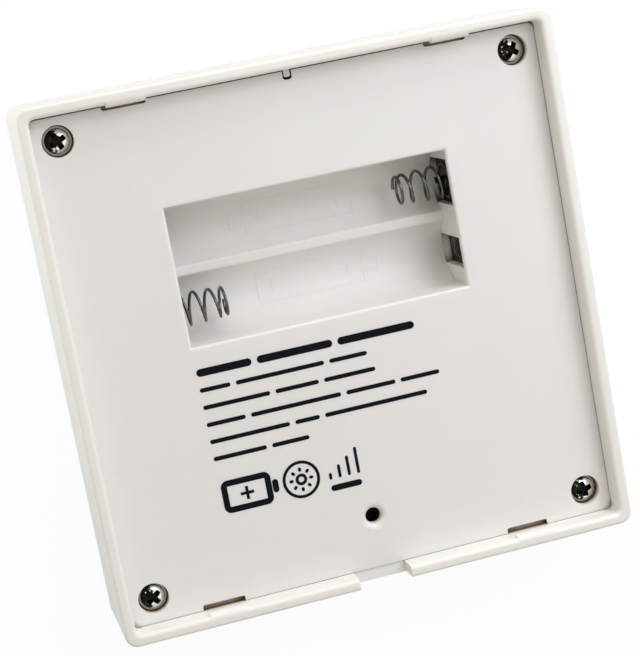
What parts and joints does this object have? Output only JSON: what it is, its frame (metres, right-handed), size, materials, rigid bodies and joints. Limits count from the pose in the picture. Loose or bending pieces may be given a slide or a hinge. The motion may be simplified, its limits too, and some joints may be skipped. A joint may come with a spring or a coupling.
{
  "type": "wall touch dimmer panel",
  "caption": "Square battery-powered wall touch dimmer panel, shown from its back: raised rim with clip tabs, screwed rear cover, open battery well with contact springs.",
  "frame": {"origin": "middle of the touch face, which lies on the surface", "axes": "+Z out of the back of the panel, +X right and +Y up as the back is looked at"},
  "size_m": [0.086, 0.086, 0.019],
  "materials": {
    "frame_plastic": "fine satin moulded surface",
    "cover_plastic": "fine satin moulded surface",
    "screw_steel": "nickel plated",
    "contact_metal": "nickel plated sheet",
    "spring_wire": "drawn wire, nickel plated",
    "panel_face": "polished",
    "adhesive_sheet": "soft adhesive",
    "board_laminate": "solder mask over laminate",
    "chip_resin": "moulded resin",
    "crystal_can": "plain metal lid",
    "buzzer_resin": "moulded resin",
    "lamp_resin": "clear resin",
    "capacitor_can": "drawn can",
    "capacitor_ceramic": "fired ceramic",
    "resistor_ceramic": "fired ceramic with a dark top"
  },
  "bodies": {
    "housing": {"front_frame": "frame_plastic", "rear_cover": "cover_plastic", "cover_screws": "screw_steel", "link_contact": "contact_metal", "positive_contact": "contact_metal", "negative_contact": "contact_metal", "touch_panel": "panel_face", "panel_adhesive": "adhesive_sheet", "circuit_board": "board_laminate", "radio_chip": "chip_resin", "touch_chip": "chip_resin", "crystal": "crystal_can", "buzzer": "buzzer_resin", "indicator_led": "lamp_resin", "bulk_capacitor": "capacitor_can", "chip_capacitors": "capacitor_ceramic", "chip_resistors": "resistor_ceramic"},
    "upper_spring": {"upper_cell_spring": "spring_wire"},
    "lower_spring": {"lower_cell_spring": "spring_wire"}
  },
  "joints": [
    {"name": "upper_spring_press", "type": "slide", "parent": "housing", "child": "upper_spring", "axis": [1, 0, 0], "range_m": [0, 0.006], "stiffness_N_per_m": 300, "deforming": ["upper_cell_spring"]},
    {"name": "lower_spring_press", "type": "slide", "parent": "housing", "child": "lower_spring", "axis": [-1, 0, 0], "range_m": [0, 0.006], "stiffness_N_per_m": 300, "deforming": ["lower_cell_spring"]}
  ]
}
